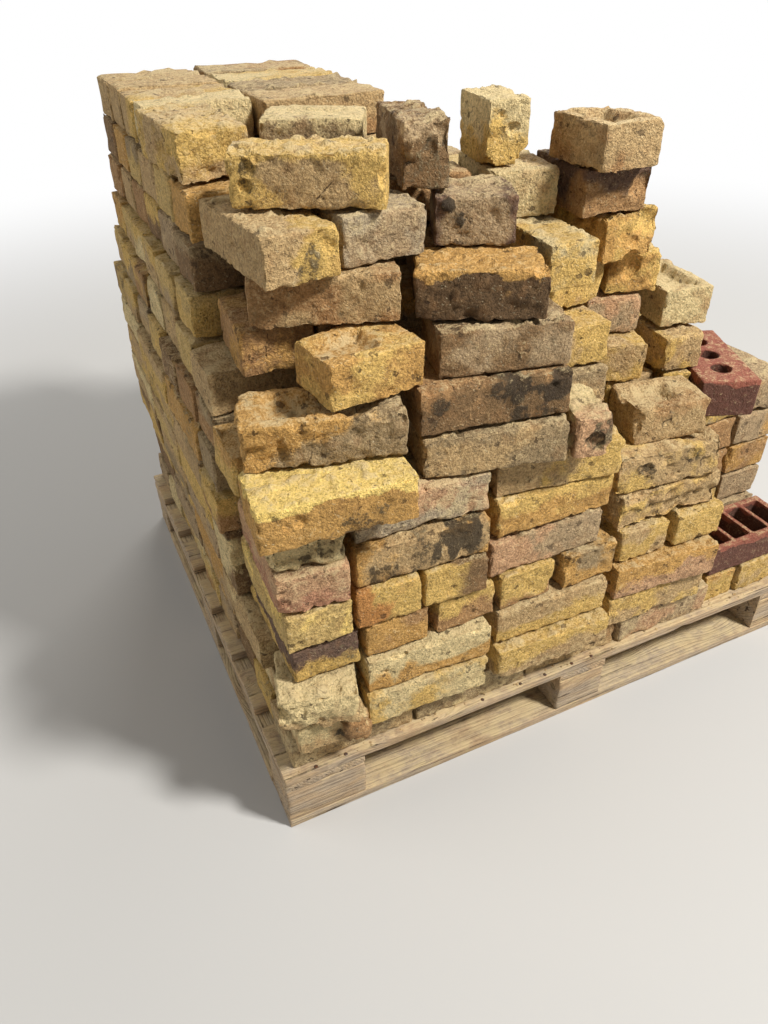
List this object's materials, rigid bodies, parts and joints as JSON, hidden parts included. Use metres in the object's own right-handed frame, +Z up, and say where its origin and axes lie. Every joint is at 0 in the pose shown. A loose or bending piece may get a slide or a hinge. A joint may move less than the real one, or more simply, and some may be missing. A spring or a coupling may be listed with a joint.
{
  "type": "pallet of bricks",
  "caption": "Wooden block pallet stacked with reclaimed yellow stock bricks, dry laid in uneven courses, with a red perforated and a red hollow brick.",
  "frame": {"origin": "centre of the pallet's underside, on the ground", "axes": "+Z up; -Y out of the long face that shows in the picture in sunlight; +X along that face to the right of a person who looks at it"},
  "size_m": [1.2, 1.0465, 1.057],
  "materials": {
    "stock_brick": "matte",
    "red_brick": "matte",
    "pallet_wood": "matte",
    "nail_steel": "matte"
  },
  "bodies": {
    "root": {"base_board_back": "pallet_wood", "base_board_front": "pallet_wood", "base_board_left": "pallet_wood", "base_board_middle": "pallet_wood", "base_board_right": "pallet_wood", "bearer_left": "pallet_wood", "bearer_middle": "pallet_wood", "bearer_right": "pallet_wood", "block_back_left": "pallet_wood", "block_back_middle": "pallet_wood", "block_back_right": "pallet_wood", "block_centre_left": "pallet_wood", "block_centre_middle": "pallet_wood", "block_centre_right": "pallet_wood", "block_front_left": "pallet_wood", "block_front_middle": "pallet_wood", "block_front_right": "pallet_wood", "brick_course_01": "stock_brick", "brick_course_02": "stock_brick", "brick_course_03": "stock_brick", "brick_course_04": "stock_brick", "brick_course_05": "stock_brick", "brick_course_06": "stock_brick", "brick_course_07": "stock_brick", "brick_course_08": "stock_brick", "brick_course_09": "stock_brick", "brick_course_10": "stock_brick", "brick_course_11": "stock_brick", "brick_course_12": "stock_brick", "brick_course_13": "stock_brick", "bricks_on_edge": "stock_brick", "deck_board_1": "pallet_wood", "deck_board_2": "pallet_wood", "deck_board_3": "pallet_wood", "deck_board_4": "pallet_wood", "deck_board_5": "pallet_wood", "deck_board_6": "pallet_wood", "deck_board_7": "pallet_wood", "hidden_filling": "stock_brick", "nail_heads": "nail_steel", "red_hollow_brick": "red_brick", "red_perforated_brick": "red_brick"}
  },
  "joints": []
}
